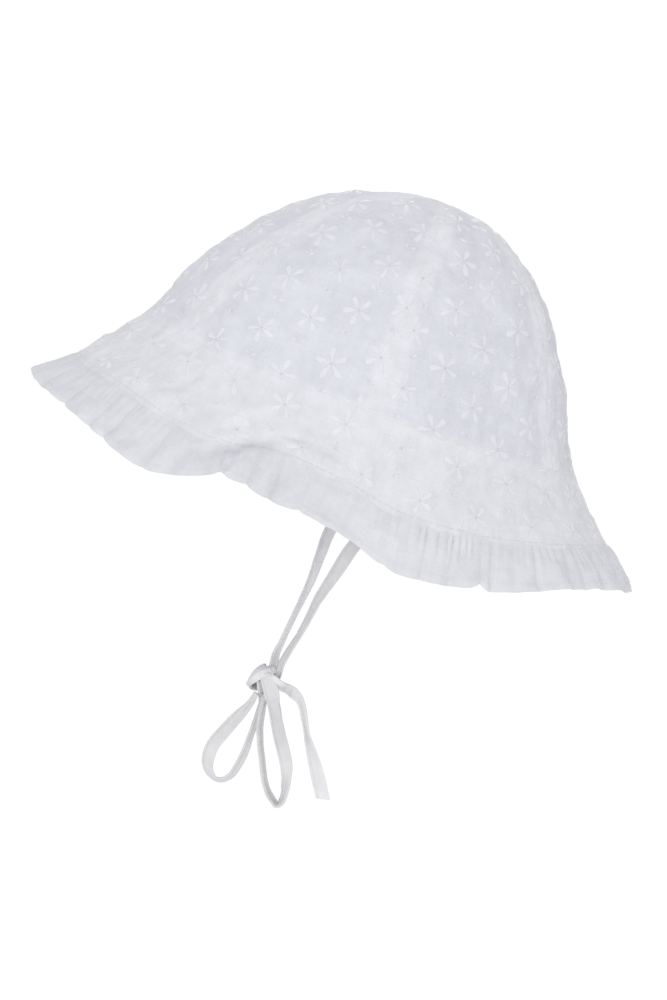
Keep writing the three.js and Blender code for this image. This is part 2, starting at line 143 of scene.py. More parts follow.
TAIL_BACK = (
    (-0.0352, 0.0033, -0.1206, 30, 0.5), (-0.0344, 0.0054, -0.125, 45, 0.8),
    (-0.0334, 0.0074, -0.1314, 50, 0.95), (-0.0326, 0.0088, -0.1384, 55, 1),
    (-0.0314, 0.0096, -0.145, 55, 1), (-0.0306, 0.0098, -0.1514, 55, 1), (-0.0302, 0.0092, -0.1572, 55, 1),
    (-0.0304, 0.0082, -0.1624, 55, 1),
)
KNOT_CENTRE = (-0.038, 0.0, -0.1156)
KNOT_CORE = 0.0042
# The wrap round the knot: x, y, z and the width as a share of the tie's.
KNOT_WRAP = (
    (-0.0362, -0.0052, -0.1114, 0.80), (-0.0394, -0.0066, -0.1122, 0.84), (-0.0422, -0.0060, -0.1141, 0.78),
    (-0.0441, -0.0038, -0.1161, 0.66), (-0.0448, -0.0008, -0.1177, 0.60), (-0.0438, 0.0024, -0.1190, 0.75),
    (-0.0417, 0.0044, -0.1192, 0.95), (-0.0386, 0.0050, -0.1182, 1.05), (-0.0356, 0.0044, -0.1166, 1.00),
    (-0.0337, 0.0025, -0.1146, 0.88), (-0.0332, -0.0004, -0.1126, 0.80), (-0.0342, -0.0032, -0.1113, 0.78),
)
# The turn of tape that comes out of the wrap and crosses over its far side.
KNOT_CROSSING = (
    (-0.0396, -0.0037, -0.1133, 0.80), (-0.0403, -0.0022, -0.1125, 0.95), (-0.0410, 0.0001, -0.1118, 1.25),
    (-0.0413, 0.0028, -0.1125, 1.50), (-0.0412, 0.0049, -0.1138, 1.55), (-0.0407, 0.0062, -0.1158, 1.45),
    (-0.0399, 0.0065, -0.1178, 1.30), (-0.0390, 0.0055, -0.1196, 1.15), (-0.0380, 0.0036, -0.1207, 1.00),
    (-0.0375, 0.0013, -0.1207, 0.85),
)
# Inside the knot the tapes run on through these places.
TIE_LEFT_END = ((-0.0318, -0.0041, -0.1094, 50, 0.8), (-0.0327, -0.0042, -0.1122, 35, 0.75),
                (-0.0336, -0.0034, -0.1146, 20, 0.65), (-0.0356, -0.0016, -0.1160, 10, 0.55))
TIE_RIGHT_END = ((-0.0347, 0.0012, -0.1101, -45, 0.8), (-0.0351, -0.0016, -0.1126, -30, 0.7))
LOOP_BACK_START = ((-0.0392, -0.0064, -0.1124, -10, 0.7), (-0.0375, -0.0076, -0.1146, -5, 0.95),
                   (-0.0360, -0.0080, -0.1182, 0, 1.15), (-0.0352, -0.0078, -0.1222, 0, 1.12))
LOOP_FRONT_END = ((-0.0393, -0.0002, -0.1221, 35, 0.7), (-0.0396, -0.0034, -0.1187, 25, 0.72),
                  (-0.0398, -0.0054, -0.1154, 10, 0.7))
TAIL_FRONT_START = ((-0.0363, -0.0066, -0.1136, 10, 0.5), (-0.0345, -0.0080, -0.1150, 15, 0.7),
                    (-0.0319, -0.0076, -0.1173, 20, 0.75))


def place(name, data, location, rotation):
    """Links a new object that has this place and turn, in degrees."""
    thing = bpy.data.objects.new(name, data)
    thing.location = location
    thing.rotation_euler = np.radians(rotation)
    bpy.context.scene.collection.objects.link(thing)
    return thing


def make_camera():
    data = bpy.data.cameras.new("camera")
    data.sensor_width = 36
    data.lens = 117
    bpy.context.scene.camera = place("camera", data, (-0.0106, -1.2955, 0.1160), (83, 0, 0))


def softbox(name, location, rotation, size, power):
    data = bpy.data.lights.new(name, "AREA")
    data.shape = "DISK"
    data.size = size
    data.energy = power
    place(name, data, location, rotation)


def make_studio():
    scene = bpy.context.scene
    scene.view_settings.view_transform = "Standard"
    scene.view_settings.look = "None"
    world = bpy.data.worlds.new("studio")
    world.use_nodes = True
    sky = world.node_tree.nodes["Background"]
    sky.inputs["Color"].default_value = (1.0, 1.0, 1.0, 1)
    sky.inputs["Strength"].default_value = 1.02
    scene.world = world
    softbox("key", (-0.2, -2.4, 0.6), (77, 0, -5), 1.2, 24)
    softbox("back", (0.4, 2.4, 0.8), (-73, 0, -9), 1.2, 14)

    side = 40.0
    corners = [(-side, -side, 0), (side, -side, 0), (side, side, 0), (-side, side, 0)]
    mesh = bpy.data.meshes.new("floor")
    mesh.from_pydata(corners, [], [(0, 1, 2, 3)])
    floor = place("floor", mesh, (0, 0, -2.0), (0, 0, 0))
    paint = bpy.data.materials.new("floor")
    paint.use_nodes = True
    shader = paint.node_tree.nodes["Principled BSDF"]
    shader.inputs["Base Color"].default_value = (0.995, 0.995, 0.995, 1)
    shader.inputs["Roughness"].default_value = 1
    shader.inputs["Specular IOR Level"].default_value = 0
    mesh.materials.append(paint)


make_camera()
make_studio()



def both(angle, share):
    """Two arrays of numbers, brought to one shape."""
    return np.broadcast_arrays(np.asarray(angle, float), np.asarray(share, float))


def grid(rows, columns):
    return np.meshgrid(rows, columns, indexing="ij")


def walked_along(points):
    """The way along a line of points, from 0."""
    return np.concatenate([[0], np.cumsum(np.linalg.norm(np.diff(points, axis=0), axis=1))])


def smooth(share):
    """0 to 1 with level ends."""
    share = np.clip(share, 0, 1)
    return share * share * (3 - 2 * share)


def hump(off, width):
    """1 in the middle, falling off evenly to both sides."""
    return np.exp(-((off / width) ** 2))


def unit(vectors):
    return vectors / np.maximum(np.linalg.norm(vectors, axis=-1, keepdims=True), 1e-12)


def blend(before, start, end, after, share):
    """Catmull-Rom through four rows, at a share of the way from the second to the third."""
    pull = (end - before) * share
    bend = (2 * before - 5 * start + 4 * end - after) * share**2
    twist = (3 * start - before - 3 * end + after) * share**3
    return 0.5 * (2 * start + pull + bend + twist)


def open_rows(rows, at):
    """The rows of an open table at row numbers that may lie between two rows."""
    at = np.asarray(at, float)
    row = np.clip(np.floor(at).astype(int), 0, len(rows) - 2)
    start, end = rows[row], rows[row + 1]
    before = np.where((row > 0)[..., None], rows[row - 1], 2 * start - end)
    last = np.minimum(row + 2, len(rows) - 1)
    after = np.where((row + 2 < len(rows))[..., None], rows[last], 2 * end - start)
    return blend(before, start, end, after, (at - row)[..., None])


def ring_rows(rows, at):
    """The same for a table that runs once round."""
    at = np.asarray(at, float)
    row = np.floor(at).astype(int)
    parts = [rows[(row + offset) % len(rows)] for offset in (-1, 0, 1, 2)]
    return blend(*parts, (at - row)[..., None])


def turn_between(start, end):
    """The signed angle between two directions, from -180 to 180 degrees."""
    return (end - start + 180) % 360 - 180


def noise(points, size, seed):
    """Smooth values from -1 to 1 over space, with bumps about this size across."""
    values = np.random.default_rng(seed).uniform(-1, 1, (32, 32, 32))
    cell = np.asarray(points) / size
    low = np.floor(cell).astype(int)
    share = smooth(cell - low)
    total = 0
    for corner in np.ndindex(2, 2, 2):
        weight = np.prod(np.where(corner, share, 1 - share), axis=-1)
        at = (low + corner) % 32
        total = total + weight * values[at[..., 0], at[..., 1], at[..., 2]]
    return total


def tilted(points):
    """Points of the upright hat in the row frame."""
    c, s = np.cos(ORIGIN_TILT), np.sin(ORIGIN_TILT)
    x, y, z = np.moveaxis(np.asarray(points), -1, 0)
    return np.stack([x * c + z * s, y, z * c - x * s], -1)



def crown_point(angle, rise):
    """A point of the crown's outside, rise 0 at the head opening to 1 at the top."""
    angle, rise = both(angle, rise)
    row = open_rows(CROWN_SECTIONS, rise * (len(CROWN_SECTIONS) - 2))
    turn = np.radians(angle)
    x = row[..., 3] + row[..., 1] * np.cos(turn)
    return np.stack([x, row[..., 2] * np.sin(turn), row[..., 0]], -1)


def folds_at(angle, reach):
    """How far the folds push the brim inward and up."""
    inward, lift = 0, 0
    for at, sweep, curve, deep, high, before, after, start in BRIM_FOLDS:
        off = turn_between(at + sweep * (1 - reach) ** curve, angle)
        width = np.where(off < 0, before, after)
        depth = hump(off, width) * smooth((reach - start) / (1 - start))
        inward = inward + deep * depth
        lift = lift + high * depth
    return inward, lift


def brim_point(angle, reach):
    """A point of the brim's outside, reach 0 at the crown to 1 at the ruffle's hem."""
    angle, reach = both(angle, reach)
    turn = np.radians(angle)
    row = ring_rows(BRIM_DROOP, ((angle + 180) % 360) / (360 / len(BRIM_DROOP)))
    droop = np.radians(row[..., 0] + (row[..., 1] - row[..., 0]) * reach / 2)
    length = FULL_WIDTH * row[..., 2] * reach
    inward, lift = folds_at(angle, np.clip(reach, 0, 1))
    _, half_length, half_width, _ = CROWN_SECTIONS[0]
    outward = unit(np.stack([np.cos(turn) / half_length, np.sin(turn) / half_width], -1))
    edge = crown_point(angle, 0 * reach)
    out = length * np.cos(droop) - inward
    down = length * np.sin(droop) - lift
    return edge + np.concatenate([outward * out[..., None], -down[..., None]], -1)


def slopes(surface, angle, share):
    """How a surface's point moves per degree round the hat, and per unit of rise or reach."""
    step = 1e-3
    low, high = np.clip(share - step, 0, 0.999), np.clip(share + step, 0.001, 1)
    across = (surface(angle + 0.05, share) - surface(angle - 0.05, share)) / 0.1
    along = (surface(angle, high) - surface(angle, low)) / (high - low)[..., None]
    return across, along


def plain_outside(surface, angle, share):
    """The side of a surface that faces out."""
    across, along = slopes(surface, angle, share)
    facing = unit(np.cross(across, along))
    return facing if surface is crown_point else -facing


def outside(surface, angle, share):
    """The same, turned evenly over the head seam from the crown's side to the brim's."""
    angle, share = both(angle, share)
    facing = plain_outside(surface, angle, share)
    other = brim_point if surface is crown_point else crown_point
    far = share * (CLIMB_FOR_BLEND if surface is crown_point else FULL_WIDTH)
    near = 0.5 * hump(far, 0.005)[..., None]
    return unit(facing * (1 - near) + plain_outside(other, angle, 0 * share) * near)


def to_seams(angle, rise):
    """The nearest upright seam: its distance and its number."""
    across, _ = slopes(crown_point, angle, rise)
    degree = np.linalg.norm(across, axis=-1)
    offs = np.stack([turn_between(seam, angle) for seam in SEAMS], -1)
    nearest = np.abs(offs).argmin(-1)
    off = np.take_along_axis(offs, nearest[..., None], -1)[..., 0]
    return np.abs(off) * degree, nearest


def up_crown(rise):
    """The way up the crown from the head opening, in metres."""
    return np.interp(rise, CLIMB_RISES, CLIMB)


def round_the_hat(angle):
    """Places on a circle about as long as the hat is round, for waves that close up."""
    turn = np.radians(angle)
    return np.stack([0.085 * np.cos(turn), 0.085 * np.sin(turn), 0 * turn], -1)


def flower_relief(points, centres, height):
    """The cloth is drawn down in a ring round each flower, and stands up within it."""
    total = np.zeros(points.shape[:-1])
    for centre in centres:
        far = np.linalg.norm(points - centre, axis=-1)
        near = far < 0.014
        far = far[near]
        total[near] += height * (hump(far, 0.0042) - 0.9 * hump(far - 0.008, 0.0022))
    return total


def crumple(points, angle, from_head):
    """The soft waves of the worn cloth, which run on across the seams, and the puckers of the head seam."""
    soft = 0.0011 * noise(points, 0.027, 1) + 0.0008 * noise(points, 0.0118, 2)
    crinkle = 0.00027 * noise(points, 0.0058, 3) + 0.00013 * noise(points, 0.0028, 4)
    pucker = 0.00035 * noise(round_the_hat(angle), 0.0045, 6) * np.exp(-from_head / 0.006)
    return soft + crinkle + pucker - 0.0002


def crown_relief(angle, rise):
    """How far the crown's cloth stands out from the plain shape."""
    points = crown_point(angle, rise)
    off, seam = to_seams(angle, rise)
    climb = up_crown(rise)
    from_edges = np.minimum(off, climb)
    allowance = 0.00016 * smooth((0.0078 - off) / 0.003) * smooth(from_edges / 0.0025)
    waves = noise(np.stack([climb, seam * 0.37, 0 * climb], -1), 0.0042, 5)
    pucker = 0.0004 * waves * np.exp(-off / 0.005) * smooth(climb / 0.01)
    groove = -0.00002 * hump(from_edges, 0.0007)
    total = allowance + pucker + groove + crumple(points, angle, climb)
    return total + flower_relief(points, CROWN_CENTRES, 0.00036) * smooth(from_edges / 0.003)


def gather_at(angle):
    """Where a point is between the small gathers, from 0 to 1."""
    at = turn_between(0, np.asarray(angle, float))
    gap = np.clip(np.searchsorted(GATHERS, at, side="right") - 1, 0, len(GATHERS) - 2)
    return (at - GATHERS[gap]) / (GATHERS[gap + 1] - GATHERS[gap])


def creased(points, creases):
    """How far creases raise or sink the cloth at points of the brim."""
    total = np.zeros(points.shape[:-1])
    for height, width, places in creases:
        rows = np.array(places)
        line = open_rows(rows, np.linspace(0, len(rows) - 1, 8 * len(rows)))
        spots = brim_point(line[:, 0], line[:, 1] / 1000 / FULL_WIDTH)
        near = np.full(points.shape[:-1], CREASE_UNSEEN)
        for number, spot in enumerate(spots):
            end = min(number, len(spots) - 1 - number) / (0.35 * len(spots))
            far = np.linalg.norm(points - spot, axis=-1) + 1.6 * width * (1 - smooth(end))
            near = np.minimum(near, far)
        total += height * np.exp(-((near / width) ** 1.6))
    return total


def hem_waves(angle, from_hem):
    """The cloth beside the ruffle's seam is drawn up between the small gathers and sunk along the seam."""
    drawn = 0.0005 * (np.sin(np.pi * gather_at(angle)) - 0.6) * np.exp(-np.abs(from_hem) / 0.0045)
    sunk = 0.0007 * hump(from_hem, 0.0028)
    return drawn * table_at(GATHERED, angle) - sunk * table_at(SEAM_SUNK, angle)


def brim_relief(angle, reach):
    """How far the brim's cloth stands out from the plain shape."""
    points = brim_point(angle, reach)
    down = reach * FULL_WIDTH
    to_hem = BRIM_WIDTH - down
    groove = -0.00002 * hump(down, 0.0007)
    rolled = -0.00022 * (1 - smooth(to_hem / 0.0014))
    worked = creased(points, BRIM_CREASES) + flower_relief(points, BRIM_CENTRES, 0.00026)
    total = hem_waves(angle, to_hem) + groove + rolled + crumple(points, angle, down)
    return total + worked * smooth(down / 0.004)


def cloth_point(surface, relief, angle, share, height=0.0):
    """A point of the worked cloth, this far above its outside."""
    angle, share = both(angle, share)
    lift = relief(angle, share) + height
    return surface(angle, share) + outside(surface, angle, share) * lift[..., None]


def table_at(rows, angle):
    """A value from a table of angles and values that runs once round the hat."""
    rows = np.array(rows, float)
    return np.interp(turn_between(0, np.asarray(angle)), rows[:, 0], rows[:, 1])


def ruffle_point(angle, drop):
    """A point of the ruffle's middle, drop in metres below the stitch line."""
    share = np.clip(drop / RUFFLE_WIDTH, 0, 1)
    open_out = 0.28 + 0.72 * smooth(share)
    sunk, shut, notch = 0, 0, 0
    for at, depth, cut in PLEATS:
        off = turn_between(at, angle) * HEM_METRE
        wide = 0.0013 + 0.0016 * share
        sunk = sunk + depth * np.exp(-((np.abs(off) / (1.2 * wide)) ** 1.5))
        shut = shut - depth * off / wide * hump(off, wide)
        notch = notch + cut * np.exp(-((np.abs(off) / 0.0022) ** 1.3))
    middle = brim_point(angle, np.minimum((BRIM_WIDTH + drop) / FULL_WIDTH, 1))
    billow = 0.0009 * noise(middle, 0.0125, 25) + 0.0007 * noise(middle, 0.0062, 26)
    carried = crumple(middle, angle, BRIM_WIDTH + drop) + hem_waves(angle, drop)
    carried = carried + creased(middle, BRIM_CREASES) * (1 - 0.7 * smooth(share / 0.35))
    gathered = table_at(GATHERED, angle)
    fold = (0.0002 - 0.0017 * sunk + billow) * open_out * smooth(drop / 0.0016)
    tuck = 0.0009 * gathered * smooth(share / 0.08) * (1 - 0.8 * smooth((share - 0.10) / 0.6))
    tuck = tuck * (np.sin(np.pi * gather_at(angle)) ** 0.9 - 0.6)
    flutter = 0.0003 * share * noise(middle, 0.009, 21)
    flutter = flutter + 0.0002 * smooth(share / 0.2) * noise(middle, 0.0036, 22)
    lean = 0.00022 * shut * open_out / HEM_METRE + 0.5 * share * noise(middle, 0.02, 23)
    length = drop + share * (0.0006 * noise(middle, 0.016, 24) - notch + table_at(HEM_LONGER, angle))
    reach = (BRIM_WIDTH + length) / FULL_WIDTH
    point = brim_point(angle + lean, reach)
    facing = outside(brim_point, angle + lean, np.minimum(reach, 1))
    curl = -0.0018 * hump(turn_between(-4, angle), 15) * smooth((share - 0.55) / 0.45)
    curl = curl - 0.0022 * hump(turn_between(-122, angle), 6) * smooth((share - 0.1) / 0.9)
    beside = turn_between(-114.5 + 3.3 * (1 - share), angle) * HEM_METRE
    turned = hump(beside, np.where(beside < 0, 0.0070, 0.0011))
    fold = fold - 0.0022 * turned * smooth(share / 0.9)
    return point + facing * (carried + fold + tuck + flutter + curl - 0.00055 * (1 - share))[..., None]



def mesh_object(name, points, faces, uv, ply_and_painted_light=None):
    """A mesh from points and faces, with a UV and, for cloth, a ply value for each point: where the hat's
    cloth lies double, and painted light and shade on the ties and the knot.
    """
    mesh = bpy.data.meshes.new(name)
    mesh.from_pydata([tuple(p) for p in np.asarray(points)], [], [tuple(int(v) for v in f) for f in faces])
    mesh.polygons.foreach_set("use_smooth", [True] * len(mesh.polygons))
    corner = np.zeros(len(mesh.loops), np.int32)
    mesh.loops.foreach_get("vertex_index", corner)
    layer = mesh.uv_layers.new(name="cloth")
    layer.data.foreach_set("uv", np.asarray(uv, np.float32)[corner].ravel())
    if ply_and_painted_light is not None:
        layer = mesh.attributes.new("ply_and_painted_light", "FLOAT", "POINT")
        layer.data.foreach_set("value", np.asarray(ply_and_painted_light, np.float32).ravel())
    mesh.validate()
    mesh.set_sharp_from_angle(angle=np.radians(SHARP_EDGE))
    thing = bpy.data.objects.new(name, mesh)
    bpy.context.scene.collection.objects.link(thing)
    return thing


def grid_faces(rows, columns, ring, flip=False):
    """The quads of a grid of points, wrapped round if it is a ring."""
    row, column = grid(np.arange(rows - 1), np.arange(columns if ring else columns - 1))
    after = (column + 1) % columns
    low, high = row * columns, (row + 1) * columns
    quads = np.stack([low + column, low + after, high + after, high + column], -1).reshape(-1, 4)
    return quads[:, ::-1] if flip else quads


def wall(name, outer, inner, uv, ply_and_painted_light, ring):
    """A closed cloth wall between two grids of points, whose last index is the point's coordinates."""
    rows, columns = outer.shape[:2]
    count = rows * columns
    faces = [grid_faces(rows, columns, ring), grid_faces(rows, columns, ring, True) + count]
    number = np.arange(count).reshape(rows, columns)
    edges = [number[0], number[-1][::-1]]
    if not ring:
        edges += [number[::-1, 0], number[:, -1]]
    for edge in edges:
        end = np.roll(edge, -1) if ring else edge[1:]
        start = edge if ring else edge[:-1]
        faces.append(np.stack([end, start, start + count, end + count], -1))
    points = np.concatenate([outer.reshape(-1, 3), inner.reshape(-1, 3)])
    uvs, plies = np.tile(uv.reshape(-1, 2), (2, 1)), np.tile(ply_and_painted_light.ravel(), 2)
    return mesh_object(name, tilted(points), np.concatenate(faces), uvs, plies)


# Angles are in degrees round the crown's axis: 0 is the back, -90 the wearer's left, 180 the front.
PANELS = {
    "back": (-29, 29),
    "back_right": (29, 86),
    "front_right": (86, 144),
    "front": (144, 216),
    "front_left": (216, 274),
    "back_left": (274, 331),
}
SEAMS = (-29, 29, 86, 144, 216, 274)
CLIMB_RISES = np.linspace(0, 1, 400)
CLIMB = walked_along(crown_point(-115, CLIMB_RISES))
HEM_METRE = 0.00205  # along the hem for each degree, near enough: the mean is 0.00201

# The ruffle's pleats on the side that the photograph shows, placed after it where they can be made out: the
# angle, how deep, and the notch in the hem in metres.
SHOWN_PLEATS = (
    (-172, 0.8, 0.0), (-165, 0.3, 0.0), (-160, 0.4, 0.0004), (-154, 0.9, 0.0013), (-149.5, 0.2, 0.0),
    (-143, 0.8, 0.0010), (-138, 0.9, 0.0012), (-134, 0.3, 0.0), (-126.3, 0.9, 0.0008), (-119.6, 0.8, 0.0),
    (-114.3, 0.3, 0.0024), (-108.4, 0.9, 0.0012), (-102.6, 1.1, 0.0009), (-95.4, 0.7, 0.0013),
    (-88.6, 0.35, 0.0), (-84, 0.4, 0.0), (-80.2, 0.5, 0.0), (-77.1, 0.8, 0.0), (-75.1, 0.4, 0.0008),
    (-72.7, 0.6, 0.0), (-70.7, 0.35, 0.0), (-67.3, 0.8, 0.0004), (-64.7, 0.4, 0.0), (-61.8, 0.7, 0.0),
    (-59, 0.3, 0.0), (-54.4, 0.7, 0.0024), (-52.0, 1.5, 0.0), (-47.2, 0.4, 0.0), (-43.5, 0.4, 0.0),
    (-41.4, 0.9, 0.0003), (-38.7, 0.3, 0.0), (-33.6, 0.7, 0.0), (-29.8, 0.5, 0.0), (-23.0, 1.6, 0.0020),
    (-14, 0.6, 0.0), (-7, 0.9, 0.0004),
)


# By angle round the hat: how strongly the ruffle is gathered, how far its seam is sunk, and how much longer
# in metres it hangs.
GATHERED = (
    (-180, 0.25), (-160, 0.2), (-140, 0.25), (-128, 0.25), (-112, 0.2), (-106, 0.1), (-90, 0.1), (-84, 0.4),
    (-72, 0.6), (-60, 0.6), (-54, 0.3), (-46, 0.2), (-40, 0.5), (-30, 0.6), (-22, 0.4), (0, 0.6), (30, 0.3),
    (60, 0.8), (95, 0.2), (120, 0.8), (150, 0.3), (180, 0.25),
)
SEAM_SUNK = (
    (-180, 0.2), (-150, 0.2), (-135, 0.3), (-120, 0.2), (-112, 0.3), (-102, 1.0), (-84, 1.0), (-76, 0.6),
    (-66, 0.3), (180, 0.2),
)
HEM_LONGER = (
    (-180, 0.0), (-136, 0.0), (-118, 0.0), (-110, -0.0004), (-104, 0.0007), (-100, 0.0006), (-93, -0.0016),
    (-84, -0.0008), (-76, -0.0002), (-68, -0.0009), (-56, -0.0008), (-50, 0.0), (-42, -0.0003),
    (-31, -0.0012), (-25, -0.0014), (-17, 0.0005), (-8, 0.0016), (2, 0.0010), (10, 0.0), (180, 0.0),
)


def lay_gathers():
    """All the ruffle's pleats, random ones on the far side, and the angles of its small gathers."""
    chance = np.random.default_rng(8)
    pleats = list(SHOWN_PLEATS)
    angle = pleats[-1][0]
    while True:
        angle += chance.choice([chance.uniform(2.2, 4.0), chance.uniform(4.5, 8.5)])
        if angle > 185:
            break
        strong = chance.random() < 0.22
        depth = chance.uniform(1.1, 1.6) if strong else chance.uniform(0.3, 1.0)
        pleats.append((angle, depth, chance.uniform(0.0006, 0.0018) if strong else 0.0))
    small = [-180.0]
    while small[-1] < 177.5:
        small.append(small[-1] + chance.uniform(1.3, 3.1))
    return np.array(pleats), np.array(small + [180.0])


PLEATS, GATHERS = lay_gathers()

# Each crown panel's flowers stand on a lattice of its flat cloth: where it starts, the step along a
# slanting row, and the step up the cloth.
LATTICES = {
    "front_left": ((0.0040, 0.0258), (0.0147, 0.0108), (-0.0020, 0.0240)),
    "back_left": ((-0.0020, 0.0395), (0.0165, 0.0123), (0.0034, 0.0242)),
    "front": ((0.0030, 0.0200), (0.0155, 0.0118), (0.0, 0.0240)),
    "back": ((-0.0050, 0.0300), (0.0155, 0.0118), (0.0, 0.0240)),
    "front_right": ((-0.0040, 0.0250), (0.0155, 0.0118), (0.0010, 0.0240)),
    "back_right": ((0.0060, 0.0330), (0.0155, 0.0118), (-0.0010, 0.0240)),
}


def walk(middle, across, up):
    """Where a point of a panel's flat cloth lies on the crown: its angle, its rise and the direction of
    the cloth's cross grain there. across and up are measured from the foot of the panel's middle."""
    angle = np.full(len(across), float(middle))
    rise = np.interp(up, CLIMB, CLIMB_RISES)
    steps = 40
    heading = slopes(crown_point, angle, rise)[0] * np.sign(across + 1e-9)[:, None]
    for _ in range(steps):
        round_hat, climb = slopes(crown_point, angle, rise)
        facing = unit(np.cross(round_hat, climb))
        heading = unit(heading - facing * (heading * facing).sum(-1, keepdims=True))
        move = heading * (np.abs(across) / steps)[:, None]
        turn, lift = in_slopes(round_hat, climb, move)
        angle = np.clip(angle + turn, middle - 60, middle + 60)
        rise = np.clip(rise + lift, -0.02, 0.97)
    return angle, rise, heading * np.sign(across + 1e-9)[:, None]


def in_slopes(first, second, move):
    """How many of each slope a small move on a surface is."""
    a, b, c = (first * first).sum(-1), (first * second).sum(-1), (second * second).sum(-1)
    p, q = (first * move).sum(-1), (second * move).sum(-1)
    det = a * c - b * b
    return (p * c - q * b) / det, (q * a - p * b) / det


class Motif:
    """A place on the cloth that embroidery is drawn on: an angle and share of a surface, and the cross
    grain's direction there."""

    def __init__(self, surface, relief, angle, share, heading, limits, turned=False):
        self.surface, self.relief, self.limits, self.turned = surface, relief, limits, turned
        self.angle, self.share = float(angle), float(share)
        at = np.array([self.angle]), np.array([self.share])
        across, along = slopes(surface, *at)
        facing = outside(surface, *at)[0]
        cross = unit(heading - facing * (heading @ facing))
        up = np.cross(facing, cross)
        self.cross = [float(v[0]) for v in in_slopes(across, along, cross[None])]
        self.up = [float(v[0]) for v in in_slopes(across, along, up[None])]
        self.centre = surface(*at)[0]


def lay_flowers():
    """The flowers of the crown and of the brim."""
    crown, brim = [], []
    chance = np.random.default_rng(3)
    for name, (start, row, column) in LATTICES.items():
        low, high = PANELS[name]
        cells = [(i, j) for i in range(-6, 7) for j in range(-5, 7)]
        flat = np.array([np.add(start, np.multiply(i, row)) + np.multiply(j, column) for i, j in cells])
        flat = flat + chance.uniform(-0.0005, 0.0005, flat.shape)
        keep = (np.abs(flat[:, 0]) < 0.052) & (flat[:, 1] > -0.001) & (flat[:, 1] < CLIMB[-1] - 0.010)
        cells = [cell for cell, kept in zip(cells, keep) if kept]
        flat = flat[keep]
        angle, rise, heading = walk((low + high) / 2, flat[:, 0], flat[:, 1])
        degree = np.linalg.norm(slopes(crown_point, angle, rise)[0], axis=-1)
        over = np.maximum(low - angle, angle - high) * degree
        for k, cell in enumerate(cells):
            if over[k] < 0.0045 and -0.003 < rise[k] * CLIMB[-1] and rise[k] < 0.93:
                limits = (low, high, 0.0, 0.97)
                spot = angle[k], rise[k], heading[k]
                crown.append(Motif(crown_point, crown_relief, *spot, limits, cell[0] % 2 == 0))
    limits = (-999, 999, 0.0004 / FULL_WIDTH, (BRIM_WIDTH - 0.0032) / FULL_WIDTH)
    for number in range(50):
        low_row = number % 2
        angle = -150 + number * 7.2 + chance.uniform(-0.4, 0.4)
        down = (0.0245 if low_row else 0.0082) + chance.uniform(-0.0006, 0.0006)
        across, _ = slopes(brim_point, np.array([angle]), np.array([down / FULL_WIDTH]))
        share = down / FULL_WIDTH
        brim.append(Motif(brim_point, brim_relief, angle, share, unit(across[0]), limits, low_row == 0))
    return crown, brim


CROWN_FLOWERS, BRIM_FLOWERS = lay_flowers()
CROWN_CENTRES = [motif.centre for motif in CROWN_FLOWERS]
BRIM_CENTRES = [motif.centre for motif in BRIM_FLOWERS]


PETAL_ACROSS = np.array([-1, -0.9, -0.68, -0.4, 0, 0.4, 0.68, 0.9, 1])
PETAL_ALONG = np.array([0, 0.08, 0.2, 0.36, 0.52, 0.68, 0.82, 0.93, 1])


def petal(length, width, height, start, turn, offset=(0, 0), bend=0.0):
    """A satin-stitched pad: points across and along the cloth, heights, UVs and faces."""
    along, across = grid(PETAL_ALONG, PETAL_ACROSS)
    body = 0.24 + 0.76 * smooth(along / 0.74)
    tip = np.sqrt(np.clip(1 - (np.maximum(along - 0.72, 0) / 0.285) ** 2, 0.002, 1))
    half = width / 2 * body * tip
    x, y = across * half, start + along * length
    x = x + bend * length * along**2
    ends = smooth(along / 0.1) * smooth((1 - along) / 0.09)
    dome = (1 - across**2) ** 0.7 * (1 - 0.55 * hump(across, 0.4) * smooth(along / 0.3))
    high = height * dome * ends - 0.00013 * (1 - smooth(dome * ends / 0.25))
    c, s = np.cos(turn), np.sin(turn)
    place = np.stack([x * s + y * c + offset[0], -x * c + y * s + offset[1]], -1).reshape(-1, 2)
    rows, columns = along.shape
    number = np.arange(rows * columns).reshape(rows, columns)
    faces = [list(face) for face in grid_faces(rows, columns, False)]
    for row in range(1, rows - 2):
        faces.append([number[row, 0], number[row + 1, 0], number[row + 1, -1], number[row, -1]])
    faces.append([number[0, 0], number[1, 0], number[1, -1], *number[0, :0:-1]])
    faces.append([number[-2, 0], *number[-1], number[-2, -1]])
    uv = np.stack([x.ravel(), y.ravel()], -1)
    return place, high.ravel(), uv, faces


def torus(radius, thick, height):
    round_ring, tube = grid(np.arange(12) * np.pi / 6, np.arange(6) * np.pi / 3)
    far = radius + thick * np.cos(tube)
    place = np.stack([far * np.cos(round_ring), far * np.sin(round_ring)], -1).reshape(-1, 2)
    faces = []
    for i in range(12):
        for j in range(6):
            ahead, above = (i + 1) % 12, (j + 1) % 6
            faces.append([i * 6 + j, ahead * 6 + j, ahead * 6 + above, i * 6 + above])
    uv = np.stack([tube.ravel() * thick, round_ring.ravel() * radius], -1)
    return place, (height + thick * np.sin(tube)).ravel(), uv, faces


def disc(radius, height):
    turn = np.arange(12) * np.pi / 6
    place = radius * np.stack([np.cos(turn), np.sin(turn)], -1)
    return place, np.full(12, height), place, [list(range(12))]


